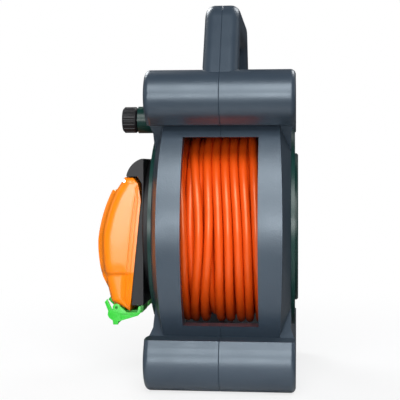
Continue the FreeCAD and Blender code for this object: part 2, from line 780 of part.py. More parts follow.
def add_hinge_ear(housing, name, centre):
    ear = sketch_on(housing, "XZ_Plane", f"{name}_hinge_ear", f"-1 * ({centre})")
    draw_profile(ear, along_x([
        ("Size.hinge_reach + 3.4", "Size.hinge_height", "3.4001", -1),
        ("Size.hinge_reach - 3.4", "Size.hinge_height"),
        ("90", "51"),
        ("90", "54"),
        ("94.3", "54"),
        ("Size.hinge_reach + 2.3", "50.5"),
    ]))
    extrude(housing, "Pad", ear, "10", midplane=True)
    bore = sketch_on(housing, "XZ_Plane", f"{name}_ear_bore", f"-1 * ({centre})")
    draw_circle(bore, "-Size.hinge_reach", "Size.hinge_height", "Size.hinge_pin_radius")
    extrude(housing, "Pocket", bore, "12", midplane=True)


def socket_cover(name, centre):
    """A hinged splash-proof cover: a shell with a raised middle and a notch for its latch."""
    cover = start_body(f"{name}_cover")
    at_axle(cover)
    cover.setExpression("Placement.Base.y", centre)
    shell = sketch_on(cover, "XZ_Plane", f"{name}_cover_shell")
    draw_profile(shell, along_x([
        ("88.8", "50.7"),
        ("83.9", "44.3"),
        ("81", "27.7"),
        ("91.7", "-81"),
        ("93", "-81"),
        ("111.3", "-72.2", "221", 1),
        ("119.8", "-7.6", "140", 1),
        ("105.4", "39"),
        ("97.6", "50.8"),
    ]))
    extrude(cover, "Pad", shell, "Size.cover_width", midplane=True)
    raised = sketch_on(cover, "XZ_Plane", f"{name}_cover_raised")
    draw_profile(raised, along_x([
        ("104", "-60"),
        ("113", "-64"),
        ("121.2", "-46.4", "160", 1),
        ("126", "-7.6", "90", 1),
        ("114", "39.5"),
        ("104", "39.5"),
    ]))
    extrude(cover, "Pad", raised, "Size.cover_width - 18", midplane=True)
    space = sketch_on(cover, "XZ_Plane", f"{name}_plug_space")
    draw_profile(space, along_x([
        ("75", "-57"),
        ("110", "-57", "218", 1),
        ("119.8 - Size.cover_wall", "-7.6", "137", 1),
        ("102.8", "37"),
        ("75", "37"),
    ]))
    extrude(cover, "Pocket", space, "Size.cover_width - 2 * Size.cover_wall", midplane=True)
    deep = sketch_on(cover, "XZ_Plane", f"{name}_deep_space")
    draw_profile(deep, along_x([
        ("100", "-54"),
        ("112.5", "-54"),
        ("121.2 - Size.cover_wall", "-45", "160", 1),
        ("126 - Size.cover_wall", "-7.6", "90", 1),
        ("111.5", "36"),
        ("100", "36"),
    ]))
    extrude(cover, "Pocket", deep, "Size.cover_width - 18 - 2 * Size.cover_wall", midplane=True)
    add_latch_seat(cover, name)
    ear_notch = sketch_on(cover, "XZ_Plane", f"{name}_ear_notch")
    draw_rectangle(ear_notch, "-130", "Size.hinge_height - 7", "-80", "60")
    extrude(cover, "Pocket", ear_notch, "11", midplane=True)
    bore = sketch_on(cover, "XZ_Plane", f"{name}_cover_bore")
    draw_circle(bore, "-Size.hinge_reach", "Size.hinge_height", "Size.hinge_pin_radius + 0.05")
    extrude(cover, "Pocket", bore, "Size.cover_width + 2", midplane=True)
    return cover


def add_latch_seat(cover, name):
    """Two lugs that hold the latch's pin, and the notch between them that the plugs' leads leave by."""
    lugs = sketch_on(cover, "XZ_Plane", f"{name}_latch_lugs")
    draw_profile(lugs, along_x([
        ("Size.latch_reach - 4.5", "Size.latch_height", "4.5001", 1),
        ("Size.latch_reach + 4.5", "Size.latch_height"),
        ("Size.latch_reach + 4.5", "-68"),
        ("Size.latch_reach - 4.5", "-68"),
    ]))
    extrude(cover, "Pad", lugs, "Size.latch_width + 9", midplane=True)
    notch = sketch_on(cover, "XZ_Plane", f"{name}_latch_notch")
    draw_rectangle(notch, "-130", "-90", "-97", "-56")
    extrude(cover, "Pocket", notch, "Size.latch_width + 1", midplane=True)
    bore = sketch_on(cover, "XZ_Plane", f"{name}_lug_bore")
    draw_circle(bore, "-Size.latch_reach", "Size.latch_height", "Size.hinge_pin_radius")
    extrude(cover, "Pocket", bore, "Size.latch_width + 12", midplane=True)


def cover_latch(name, centre):
    """The latch rocks on its pin: its hook grips under the box, its tail is the finger tab, and a cheek
    on each side covers the pin's end."""
    latch = start_body(f"{name}_latch")
    latch.setExpression("Placement.Base.x", "-Size.latch_reach")
    latch.setExpression("Placement.Base.y", centre)
    latch.setExpression("Placement.Base.z", "Size.axle_height + Size.latch_height")
    outline = sketch_on(latch, "XZ_Plane", f"{name}_latch_outline")
    corners = [
        ("23.8", "1.5"),
        ("21.6", "1.5"),
        ("20.6", "-4.7"),
        ("5", "-4.7"),
        ("3", "2.7", "4.2", -1),
        ("-3", "2.7"),
        ("-9.8", "8.2"),
        ("-11.4", "5.8"),
        ("-3.8", "-1.4"),
        ("-2.4", "-16.6"),
        ("0.8", "-16.6"),
        ("3", "-7.2"),
        ("22.6", "-7.2"),
        ("23.8", "-5"),
    ]
    draw_profile(outline, corners)
    extrude(latch, "Pad", outline, "Size.latch_width", midplane=True)
    bar = sketch_on(latch, "XZ_Plane", f"{name}_latch_bar")
    draw_profile(bar, [("-3", "-9.5"), ("-2.4", "-16.6"), ("0.8", "-16.6"), ("2.2", "-9.5")])
    extrude(latch, "Pad", bar, "Size.latch_cheek_width", midplane=True)
    for side, sign in (("near", ""), ("far", "-1 * ")):
        cheek = sketch_on(latch, "XZ_Plane", f"{name}_{side}_cheek", f"{sign}(Size.latch_cheek_width / 2)")
        draw_profile(cheek, corners)
        extrude(latch, "Pad", cheek, "Size.latch_cheek", reverse=not sign)
    bore = sketch_on(latch, "XZ_Plane", f"{name}_latch_bore")
    draw_circle(bore, "0", "0", "Size.hinge_pin_radius + 0.05")
    extrude(latch, "Pocket", bore, "Size.latch_cheek_width + 2", midplane=True)
    return latch


def cross_pin(label, reach, height, centre, length):
    """A plain steel pin along Y, with its middle at the given place."""
    pin = doc.addObject("Part::Cylinder", label)
    pin.Label = label
    pin.setExpression("Radius", "Size.hinge_pin_radius")
    pin.setExpression("Height", length)
    pin.Placement.Rotation = FreeCAD.Rotation(V(1, 0, 0), -90)
    pin.setExpression("Placement.Base.x", f"-({reach})")
    pin.setExpression("Placement.Base.y", f"{centre} - ({length}) / 2")
    pin.setExpression("Placement.Base.z", f"Size.axle_height + {height}")
    return pin


def on_socket_face(body, centre):
    """Stands a body on the sloping socket face: local z points out of it and local y up it."""
    slope = math.radians(value("Size.face_slope"))
    out = V(-math.cos(slope), 0, math.sin(slope))
    up = V(math.sin(slope), 0, math.cos(slope))
    turn = FreeCAD.Rotation(up.cross(out), up, out, "ZXY")
    base = V(-84.55, value(centre), value("Size.axle_height") - 19)
    body.Placement = FreeCAD.Placement(base, turn)


def socket_outlet(name, centre):
    """A three-pin outlet: a face plate and the cell body behind it."""
    outlet = start_body(f"{name}_socket")
    plate = sketch_on(outlet, "XY_Plane", f"{name}_plate")
    draw_rectangle(plate, "-23", "-24", "23", "24")
    extrude(outlet, "Pad", plate, "1.6")
    cell = sketch_on(outlet, "XY_Plane", f"{name}_cell")
    draw_rectangle(cell, "-17", "-18", "17", "18")
    extrude(outlet, "Pad", cell, "18", reverse=True)
    inside = sketch_on(outlet, "XY_Plane", f"{name}_cell_inside", "-18")
    draw_rectangle(inside, "-15.5", "-16.5", "15.5", "16.5")
    extrude(outlet, "Pocket", inside, "16.6", reverse=True)
    apertures = sketch_on(outlet, "XY_Plane", f"{name}_apertures")
    draw_rectangle(apertures, "-2.4", "6.8", "2.4", "15.4")
    for side in ("-11.1", "11.1"):
        draw_rectangle(apertures, f"{side} - 3.6", "-13.3", f"{side} + 3.6", "-8.9")
    extrude(outlet, "Pocket", apertures, "8", midplane=True)
    on_socket_face(outlet, centre)
    return outlet


def outlet_shutter(name, centre):
    """The safety shutter behind the two lower apertures."""
    shutter = start_body(f"{name}_shutter")
    plate = sketch_on(shutter, "XY_Plane", f"{name}_shutter_plate", "-1.8")
    draw_rectangle(plate, "-15", "-14.7", "15", "-7.7")
    extrude(shutter, "Pad", plate, "1.5", reverse=True)
    on_socket_face(shutter, centre)
    return shutter


def outlet_contacts(name, centre):
    """Three brass clips, each a pair of leaves on a foot."""
    clips = []
    for index, (across, up, wide) in enumerate(((0, 11.1, 6), (-11.1, -11.1, 7), (11.1, -11.1, 7)), start=1):
        clip = start_body(f"{name}_clip_{index}")
        channel = sketch_on(clip, "XZ_Plane", f"{name}_clip_{index}_channel")
        draw_profile(channel, [("-3.3", "-17.5"), ("3.3", "-17.5"), ("3.3", "-5"), ("2.6", "-5"),
                               ("2.6", "-16.5"), ("-2.6", "-16.5"), ("-2.6", "-5"), ("-3.3", "-5")])
        extrude(clip, "Pad", channel, str(wide), midplane=True)
        on_socket_face(clip, centre)
        clip.Placement.Base = clip.Placement.multVec(V(across, up, 0))
        clips.append(clip)
    return group(f"{name}_contacts", clips)


def cover_seal(name, centre):
    """The soft frame that the cover's rim presses towards."""
    seal = start_body(f"{name}_seal")
    frame = sketch_on(seal, "XY_Plane", f"{name}_seal_frame")
    draw_rectangle(frame, "-29.5", "-50", "29.5", "44")
    draw_rectangle(frame, "-27", "-47.5", "27", "41.5")
    extrude(seal, "Pad", frame, "0.8")
    on_socket_face(seal, centre)
    return seal


def reset_button():
    """The cut-out's reset button, in the hood between the covers."""
    button = start_body("reset_button")
    at_axle(button)
    section = sketch_on(button, "YZ_Plane", "button_face", "-93")
    draw_circle(section, "0", "Size.button_height", "Size.button_radius")
    extrude(button, "Pad", section, "8.5")
    return button


def button_spring():
    spring = start_body("button_spring")
    at_axle(spring)
    section = sketch_on(spring, "YZ_Plane", "spring_section", "-84.3")
    draw_circle(section, "0", "Size.button_height", "4")
    draw_circle(section, "0", "Size.button_height", "2.8")
    extrude(spring, "Pad", section, "4.5")
    return spring


def thermal_cutout():
    """The cut-out's body, inside the housing's spigot."""
    box = doc.addObject("Part::Box", "thermal_cutout")
    box.Label = "thermal_cutout"
    box.setExpression("Length", "12")
    box.setExpression("Width", "20")
    box.setExpression("Height", "26")
    box.setExpression("Placement.Base.x", "-Size.collar_face + 2.1")
    box.setExpression("Placement.Base.y", "-10")
    box.setExpression("Placement.Base.z", "Size.axle_height + 20")
    return box


# ---------------------------------------------------------------- free end and plug
# The cable leaves the winding at the back, drops through the rear window and lies on the floor.
TAIL_ROUTE = [
    (24, 10, 255),
    (24, 54, 244),
    (24, 93, 204),
    (24, 107, 150),
    (24, 118, 104),
    (27, 134, 80),
    (28, 141, 55),
    (20, 144, 35),
    (5, 148, 19),
    (-14, 153, 10),
    (-34, 159, 10),
]
BEND_SHARE = 0.45


def bend_radius(before, corner, after):
    """The arc's radius at a route point, its set-back and the two run directions."""
    arriving = corner - before
    leaving = after - corner
    half_turn = arriving.getAngle(leaving) / 2
    set_back = BEND_SHARE * min(arriving.Length, leaving.Length)
    return set_back / math.tan(half_turn), set_back


def cable_path(points):
    """Straight runs joined by tangent arcs through a route."""
    edges = []
    start = points[0]
    for before, corner, after in zip(points, points[1:], points[2:]):
        radius, set_back = bend_radius(before, corner, after)
        arriving = (corner - before).normalize()
        leaving = (after - corner).normalize()
        first = corner - arriving * set_back
        last = corner + leaving * set_back
        half_turn = arriving.getAngle(leaving) / 2
        inward = (leaving - arriving).normalize()
        middle = corner + inward * (radius / math.cos(half_turn) - radius)
        edges.append(Part.makeLine(start, first))
        edges.append(Part.Arc(first, middle, last).toShape())
        start = last
        print(f"tail bend at {corner.x:.0f}, {corner.y:.0f}, {corner.z:.0f}: radius {radius:.0f} mm")
    edges.append(Part.makeLine(start, points[-1]))
    return Part.Wire(edges)


def cable_tail():
    tail = doc.addObject("Part::Feature", "cable_tail")
    tail.Label = "cable_tail"
    path = cable_path([V(*point) for point in TAIL_ROUTE])
    radius = value("Size.cable_diameter") / 2
    start = V(*TAIL_ROUTE[0])
    heading = V(*TAIL_ROUTE[1]) - start
    section = Part.Wire([Part.makeCircle(radius, start, heading)])
    tube = path.makePipeShell([section], True, True)
    expected = math.pi * radius ** 2 * path.Length
    print(f"tail length {path.Length:.0f} mm, volume {tube.Volume / expected:.4f} of its section times length")
    tail.Shape = tube
    return tail


def plug_pieces():
    """A three-pin plug that lies on its back, with its pins up."""
    base = V(*TAIL_ROUTE[-1])
    heading = (base - V(*TAIL_ROUTE[-2]))
    heading.z = 0
    turn = FreeCAD.Rotation(V(0, -1, 0), heading)
    place = FreeCAD.Placement(V(base.x, base.y, 0), turn)
    cover = start_body("plug_cover")
    lower = sketch_on(cover, "XY_Plane", "plug_cover_outline")
    plug_outline(lower, 0)
    extrude(cover, "Pad", lower, "Size.plug_height - 5")
    base_plate = start_body("plug_base")
    upper = sketch_on(base_plate, "XY_Plane", "plug_base_outline", "Size.plug_height - 5")
    plug_outline(upper, 0.8)
    extrude(base_plate, "Pad", upper, "5")
    sleeve = start_body("plug_sleeve")
    section = sketch_on(sleeve, "XY_Plane", "sleeve_section", "10")
    bore = "Size.cable_diameter / 2 + 0.8"
    draw_profile(section, [(bore, "0"), ("7.5", "0"), ("5.8", "18"), (bore, "18")])
    turned_sleeve = sleeve.newObject("PartDesign::Revolution", "sleeve_turned")
    turned_sleeve.Profile = section
    turned_sleeve.ReferenceAxis = (section, ["V_Axis"])
    turned_sleeve.Angle = 360.0
    for body in (cover, base_plate, sleeve):
        body.Placement = place
    pins = []
    for index, (across, along, wide, deep, tall) in enumerate(
            ((0, 38, 4, 8, 22.7), (-11.1, 16, 6.35, 4, 17.7), (11.1, 16, 6.35, 4, 17.7)), start=1):
        pin = doc.addObject("Part::Box", f"plug_pin_{index}")
        pin.Length = wide
        pin.Width = deep
        pin.Height = tall
        corner = place.multVec(V(across - wide / 2, -along - deep / 2 + 2, value("Size.plug_height")))
        pin.Placement = FreeCAD.Placement(corner, turn)
        pins.append(pin)
    return [cover, base_plate, sleeve, group("plug_pins", pins)]


def plug_outline(sketch, inset):
    """The plug seen from its pins: narrower at the cable's end, which is at y = 0."""
    wide = f"(Size.plug_width / 2 - {inset})"
    draw_profile(sketch, [
        (f"-{wide} + 10", f"-{inset}"),
        (f"-{wide}", f"-{inset} - 12"),
        (f"-{wide}", f"-Size.plug_length + 8 + {inset}", "8.001", -1),
        (f"-{wide} + 8", f"-Size.plug_length + {inset}"),
        (f"{wide} - 8", f"-Size.plug_length + {inset}", "8.001", -1),
        (f"{wide}", f"-Size.plug_length + 8 + {inset}"),
        (f"{wide}", f"-{inset} - 12"),
        (f"{wide} - 10", f"-{inset}"),
    ])


# ---------------------------------------------------------------- build and write
left_half = left_casing()
subparts = [
    left_half, right_casing(left_half), casing_screws(),
    drum_hub(), drum_flange("left_flange", "-"), drum_flange("right_flange", ""), hub_screws(),
    side_cap(), collar_ring(), cable_gland(), cable_winding(),
    crank_arm(), crank_knob(), knob_screw(),
    socket_housing(), thermal_cutout(), reset_button(), button_spring(),
    cable_tail(),
]
subparts += plug_pieces()
for gang, centre_text in GANGS:
    subparts += [
        socket_outlet(gang, centre_text), outlet_shutter(gang, centre_text), outlet_contacts(gang, centre_text),
        cover_seal(gang, centre_text), socket_cover(gang, centre_text), cover_latch(gang, centre_text),
        cross_pin(f"{gang}_hinge_pin", "Size.hinge_reach", "Size.hinge_height", centre_text,
                  "Size.cover_width - 1"),
        cross_pin(f"{gang}_latch_pin", "Size.latch_reach", "Size.latch_height", centre_text,
                  "Size.latch_cheek_width"),
    ]
doc.recompute()

failed = [item.Name for item in doc.Objects if "Invalid" in item.State or "Error" in item.State]
for item in subparts:
    if item.Shape.isNull() or not item.Shape.isValid():
        failed.append(item.Label)
if failed:
    raise RuntimeError("failed: " + ", ".join(failed))

os.makedirs("parts", exist_ok=True)
for item in subparts:
    item.Shape.exportStep(f"parts/{item.Label}.step")
    print(f"{item.Label}: {item.Shape.Volume / 1000:.1f} cm3, {len(item.Shape.Solids)} solids")
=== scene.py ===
"""The looks of a cased extension cord reel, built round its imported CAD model. Metres, Z up."""
import json
import math

import bmesh
import bpy
from mathutils import Matrix, Vector, geometry


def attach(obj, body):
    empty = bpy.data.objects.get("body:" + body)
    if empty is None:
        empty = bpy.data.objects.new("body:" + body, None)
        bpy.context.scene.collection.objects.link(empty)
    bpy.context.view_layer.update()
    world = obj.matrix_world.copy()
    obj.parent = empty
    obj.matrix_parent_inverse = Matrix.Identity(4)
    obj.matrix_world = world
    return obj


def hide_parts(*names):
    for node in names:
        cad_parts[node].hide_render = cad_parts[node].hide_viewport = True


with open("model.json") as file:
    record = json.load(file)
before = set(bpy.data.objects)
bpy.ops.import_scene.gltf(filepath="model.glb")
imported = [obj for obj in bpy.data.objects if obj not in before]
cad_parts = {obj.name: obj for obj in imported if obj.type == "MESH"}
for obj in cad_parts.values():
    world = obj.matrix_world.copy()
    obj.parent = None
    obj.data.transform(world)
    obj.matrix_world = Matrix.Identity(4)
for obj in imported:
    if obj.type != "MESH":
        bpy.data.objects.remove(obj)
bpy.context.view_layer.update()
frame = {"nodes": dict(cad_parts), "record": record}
MM = 0.001
TINY = 1e-6
AXLE = Vector((0.0, 0.0, 150 * MM))


# ---------------------------------------------------------------- camera, light and floor
def make_camera():
    """Level, aimed a little to the left of the reel's depth axis, with the horizon above the middle."""
    data = bpy.data.cameras.new("camera")
    data.lens = 90.9
    data.sensor_width = 36.0
    data.shift_y = -0.0805
    data.clip_end = 20.0
    camera = bpy.data.objects.new("camera", data)
    camera.location = (0.0718, -1.045, 0.210)
    camera.rotation_euler = (math.radians(90), 0.0, math.radians(5.5))
    bpy.context.scene.collection.objects.link(camera)
    bpy.context.scene.camera = camera


def area_light(name, place, target, size, watts):
    data = bpy.data.lights.new(name, "AREA")
    data.shape = "RECTANGLE"
    data.size, data.size_y = size
    data.energy = watts
    light = bpy.data.objects.new(name, data)
    light.location = place
    light.rotation_euler = (Vector(target) - Vector(place)).to_track_quat("-Z", "Y").to_euler()
    bpy.context.scene.collection.objects.link(light)


# Each soft box: name, place, size and watts. All are aimed at the middle of the reel.
SOFT_BOXES = [
    ("front", (0.14, -1.9, 0.34), (0.7, 0.44), 13),
    ("front_left", (-0.42, -1.9, 0.14), (0.36, 0.5), 7),
    ("key", (0.12, -1.3, 1.1), (1.2, 0.8), 22),
    ("left", (-1.5, -0.3, 0.7), (0.7, 0.9), 1.5),
    ("right", (1.6, 0.2, 0.7), (0.7, 0.9), 2),
    ("back", (-1.0, 1.3, 1.6), (0.9, 0.8), 22),
    ("back_right", (0.9, 1.3, 1.7), (0.8, 0.8), 12),
]
LIT_MIDDLE = (0.0, 0.0, 0.17)


def make_lights():
    """Soft boxes before, above and behind the reel, a dim bluish surround, and white for the camera alone."""
    for name, place, size, watts in SOFT_BOXES:
        area_light(name, place, LIT_MIDDLE, size, watts)
    world = bpy.data.worlds.new("studio")
    world.use_nodes = True
    nodes, links = world.node_tree.nodes, world.node_tree.links
    nodes["Background"].inputs["Color"].default_value = (0.8, 0.88, 1.0, 1.0)
    nodes["Background"].inputs["Strength"].default_value = 0.08
    ground = nodes.new("ShaderNodeBackground")
    ground.inputs["Color"].default_value = (1.0, 1.0, 1.0, 1.0)
    seen = nodes.new("ShaderNodeLightPath")
    mix = nodes.new("ShaderNodeMixShader")
    links.new(seen.outputs["Is Camera Ray"], mix.inputs[0])
    links.new(nodes["Background"].outputs[0], mix.inputs[1])
    links.new(ground.outputs[0], mix.inputs[2])
    links.new(mix.outputs[0], nodes["World Output"].inputs["Surface"])
    bpy.context.scene.world = world
    bpy.context.scene.view_settings.view_transform = "Standard"


FLOOR_REACH = 6.0
FLOOR_DROP = 0.0003
# Most of the light that the floor reflects comes from a patch before the foot. The mapping puts its middle
# at 0, and the brightness goes from the first value to the second across its edge.
PATCH_SHIFT = (0.0, 1.6, 0.0)
PATCH_SCALE = (6.0, 6.5, 6.5)
PATCH_EDGE = (0.6, 1.4)
PATCH_BRIGHTNESS = (0.95, 0.16)
# To the camera the floor also glows white, the more the further it is from the reel.
GLOW_EDGE = (0.12, 0.75)
GLOW_SHARE = (0.75, 1.0)


def ease_by_length(nodes, links, vector, edge, values):
    """A value that eases from the first to the second as a vector's length crosses the edge's range."""
    length = nodes.new("ShaderNodeVectorMath")
    length.operation = "LENGTH"
    links.new(vector, length.inputs[0])
    node = nodes.new("ShaderNodeMapRange")
    node.interpolation_type = "SMOOTHSTEP"
    node.inputs["From Min"].default_value, node.inputs["From Max"].default_value = edge
    node.inputs["To Min"].default_value, node.inputs["To Max"].default_value = values
    links.new(length.outputs["Value"], node.inputs["Value"])
    return node.outputs["Result"]


def make_floor():
    """A pale sheet that the camera sees fade to white, and that lights the reel from before its foot."""
    mesh = bpy.data.meshes.new("floor")
    corners = [(-1, -1), (1, -1), (1, 1), (-1, 1)]
    mesh.from_pydata([(x * FLOOR_REACH, y * FLOOR_REACH, 0) for x, y in corners], [], [(0, 1, 2, 3)])
    floor = bpy.data.objects.new("floor", mesh)
    bpy.context.scene.collection.objects.link(floor)
    floor.location.z = -FLOOR_DROP
    material, nodes, links, bsdf = new_material("floor_paper")
    bsdf.inputs["Roughness"].default_value = 0.9
    coordinates = nodes.new("ShaderNodeTexCoord").outputs["Object"]
    seen = nodes.new("ShaderNodeLightPath").outputs["Is Camera Ray"]
    patch = nodes.new("ShaderNodeMapping")
    patch.inputs["Location"].default_value = PATCH_SHIFT
    patch.inputs["Scale"].default_value = PATCH_SCALE
    links.new(coordinates, patch.inputs["Vector"])
    paper = nodes.new("ShaderNodeMix")
    paper.data_type = "RGBA"
    links.new(seen, paper.inputs["Factor"])
    brightness = ease_by_length(nodes, links, patch.outputs["Vector"], PATCH_EDGE, PATCH_BRIGHTNESS)
    links.new(brightness, paper.inputs["A"])
    paper.inputs["B"].default_value = (0.92, 0.93, 0.94, 1.0)
    links.new(paper.outputs["Result"], bsdf.inputs["Base Color"])
    glow = nodes.new("ShaderNodeEmission")
    share = nodes.new("ShaderNodeMath")
    share.operation = "MULTIPLY"
    links.new(ease_by_length(nodes, links, coordinates, GLOW_EDGE, GLOW_SHARE), share.inputs[0])
    links.new(seen, share.inputs[1])
    mix = nodes.new("ShaderNodeMixShader")
    links.new(share.outputs["Value"], mix.inputs[0])
    links.new(bsdf.outputs[0], mix.inputs[1])
    links.new(glow.outputs[0], mix.inputs[2])
    links.new(mix.outputs[0], nodes["Material Output"].inputs["Surface"])
    floor.data.materials.append(material)


# ---------------------------------------------------------------- materials
def new_material(name):
    material = bpy.data.materials.new(name)
    material.use_nodes = True
    nodes = material.node_tree.nodes
    return material, nodes, material.node_tree.links, nodes["Principled BSDF"]


def add_noise(nodes, links, scale, detail):
    """Noise over the object's own coordinates, in metres."""
    texture = nodes.new("ShaderNodeTexNoise")
    texture.inputs["Scale"].default_value = scale
    texture.inputs["Detail"].default_value = detail
    links.new(nodes.new("ShaderNodeTexCoord").outputs["Object"], texture.inputs["Vector"])
    return texture.outputs["Fac"]


def ramp(nodes, links, factor, low, high):
    """Maps 0..1 noise on to a range of values."""
    node = nodes.new("ShaderNodeMapRange")
    node.inputs["To Min"].default_value = low
    node.inputs["To Max"].default_value = high
    links.new(factor, node.inputs["Value"])
    return node.outputs["Result"]


def shade(nodes, links, factor, colour, spread):
    """A colour that drifts a little darker and lighter with the factor."""
    mix = nodes.new("ShaderNodeMix")
    mix.data_type = "RGBA"
    mix.inputs["A"].default_value = (*[c * (1 - spread) for c in colour], 1.0)
    mix.inputs["B"].default_value = (*[min(1.0, c * (1 + spread)) for c in colour], 1.0)
    links.new(factor, mix.inputs["Factor"])
    return mix.outputs["Result"]


def add_bump(nodes, links, bsdf, height, distance):
    bump = nodes.new("ShaderNodeBump")
    bump.inputs["Distance"].default_value = distance
    bump.inputs["Strength"].default_value = 1.0
    links.new(height, bump.inputs["Height"])
    links.new(bump.outputs["Normal"], bsdf.inputs["Normal"])


DRIFT_SCALE = 14.0
RUB_SCALE = 60.0
COAT_ROUGHNESS = 0.12
METAL_DRIFT_SCALE = 40.0
METAL_DRIFT = 0.08
METAL_GRAIN_SCALE = 900.0
METAL_RELIEF = 0.00001
WHITE = (1.0, 1.0, 1.0)


def plastic(name, colour, roughness, grain=1800.0, relief=0.00002, spread=0.06, coat=0.0, wear=0.06,
            gloss=0.5, tint=WHITE):
    """Moulded plastic: a slow colour drift, a fine spark grain, and polish that varies with handling."""
    material, nodes, links, bsdf = new_material(name)
    drift = add_noise(nodes, links, DRIFT_SCALE, 4.0)
    links.new(shade(nodes, links, drift, colour, spread), bsdf.inputs["Base Color"])
    rub = add_noise(nodes, links, RUB_SCALE, 5.0)
    links.new(ramp(nodes, links, rub, roughness - wear, roughness + wear), bsdf.inputs["Roughness"])
    bsdf.inputs["Specular IOR Level"].default_value = gloss
    bsdf.inputs["Specular Tint"].default_value = (*tint, 1.0)
    bsdf.inputs["Coat Weight"].default_value = coat
    bsdf.inputs["Coat Roughness"].default_value = COAT_ROUGHNESS
    add_bump(nodes, links, bsdf, add_noise(nodes, links, grain, 2.0), relief)
    return material


def metal(name, colour, roughness):
    """Bare metal with a slight colour drift and a fine turned grain."""
    material, nodes, links, bsdf = new_material(name)
    bsdf.inputs["Metallic"].default_value = 1.0
    drift = add_noise(nodes, links, METAL_DRIFT_SCALE, 3.0)
    links.new(shade(nodes, links, drift, colour, METAL_DRIFT), bsdf.inputs["Base Color"])
    grain = add_noise(nodes, links, METAL_GRAIN_SCALE, 2.0)
    links.new(ramp(nodes, links, grain, roughness - 0.08, roughness + 0.1), bsdf.inputs["Roughness"])
    add_bump(nodes, links, bsdf, grain, METAL_RELIEF)
    return material


# The record's slots. Colours are linear, and a relief is in metres.
PLASTICS = {
    "casing_grey": dict(colour=(0.030, 0.044, 0.062), roughness=0.36, grain=650.0, relief=0.00009, spread=0.1,
                        wear=0.08, gloss=0.8, tint=(0.78, 0.9, 1.0)),
    "drum_green": dict(colour=(0.005, 0.034, 0.028), roughness=0.3, grain=2200.0, relief=0.00001, spread=0.08,
                       gloss=0.35),
    "housing_black": dict(colour=(0.010, 0.010, 0.012), roughness=0.48, grain=1500.0, relief=0.000008,
                          spread=0.1, gloss=0.35),
    "socket_dark": dict(colour=(0.025, 0.025, 0.028), roughness=0.38),
    "cover_orange": dict(colour=(1.0, 0.24, 0.003), roughness=0.3, grain=900.0, relief=0.000006, spread=0.03,
                         coat=0.2),
    "latch_green": dict(colour=(0.03, 0.55, 0.035), roughness=0.36, grain=1500.0, relief=0.00001,
                        spread=0.04),
    "cable_orange": dict(colour=(0.76, 0.078, 0.004), roughness=0.36, grain=700.0, relief=0.00002,
                         spread=0.07, gloss=1.0, tint=(1.0, 0.72, 0.45)),
    "plug_black": dict(colour=(0.014, 0.014, 0.016), roughness=0.4),
    "button_black": dict(colour=(0.012, 0.012, 0.013), roughness=0.28),
    "seal_rubber": dict(colour=(0.02, 0.02, 0.021), roughness=0.7),
}
METALS = {
    "steel": dict(colour=(0.62, 0.62, 0.64), roughness=0.3),
    "brass": dict(colour=(0.78, 0.58, 0.25), roughness=0.28),
}


def make_materials():
    """One material for each of the record's slots."""
    materials = {name: plastic(name, **looks) for name, looks in PLASTICS.items()}
    materials.update({name: metal(name, **looks) for name, looks in METALS.items()})
    return materials


def dress_nodes(materials):
    """Every CAD node takes the material of its slot."""
    for part in frame["record"]["subparts"]:
        node = frame["nodes"][part["node"]]
        for slot in node.material_slots:
            slot.material = materials[part["material_slot"]]


# ---------------------------------------------------------------- cable
CABLE_DIAMETER = 8.4 * MM
# Control points in a turn, and how far inside them the curve runs.
TURN_POINTS = 16
CHORD_FACTOR = 0.982
# Each inner layer: its radius, and how far across it starts and ends. All in millimetres.
INNER_LAYERS = [(66.2, -30.0, 43.0), (73.2, 43.0, -43.0), (80.3, -43.0, 43.0), (87.3, 43.0, -43.0)]
OUTER_RADIUS = 94.3
# The outer layer's turns from left to right: how far across each lies low, halfway and high at the front.
OUTER_TURNS = [(-38.3, -35.5, -43.0), (-29.7, -20.2, -29.4), (-19.7, -11.0, -16.1), (-4.3, -1.8, -7.8),
               (5.6, 7.1, 0.8), (16.2, 16.0, 9.3), (25.0, 24.6, 18.3), (35.1, 33.3, 28.0)]
WOUND_TURNS = 46.515
# Where the winding starts, in degrees from straight up towards the back.
GLAND_ANGLE = 180.0
# How many turns it takes to climb to the next layer.
CLIMB_TURNS = 0.35
# Between stations further apart than this the cable goes evenly across.
LONG_RUN_TURNS = 2.0
# Where a turn passes low, halfway and high in the front window, and where the last ends: turns from the top.
PASS_LOW, PASS_HALFWAY, PASS_HIGH = 210 / 360, 270 / 360, 330 / 360
LAST_PASS_END = 365.4 / 360
FREE_END_ACROSS, FREE_END_RADIUS = 24.0, 105.5
# The free end's way out of the rear window, down and along the floor to the plug.
TAIL_ROUTE = [
    (24, 10, 255), (24, 54, 244), (24, 93, 204), (24, 107, 150), (24, 118, 104), (27, 134, 80), (28, 141, 55),
    (20, 144, 35), (5, 148, 19), (-14, 153, 10), (-34, 159, 10),
]


def cable_curve(name, points, material):
    """One open NURBS spline with a round section."""
    curve = bpy.data.curves.new(name, "CURVE")
    curve.dimensions = "3D"
    spline = curve.splines.new("NURBS")
    spline.points.add(len(points) - 1)
    for control, point in zip(spline.points, points):
        control.co = (*point, 1.0)
    spline.order_u = 3
    spline.use_endpoint_u = True
    spline.resolution_u = 3
    curve.bevel_depth = CABLE_DIAMETER / 2
    curve.bevel_resolution = 5
    curve.use_fill_caps = True
    curve.materials.append(material)
    cable = bpy.data.objects.new(name, curve)
    bpy.context.scene.collection.objects.link(cable)
    return cable


def smooth_step(t):
    t = max(0.0, min(1.0, t))
    return t * t * (3 - 2 * t)


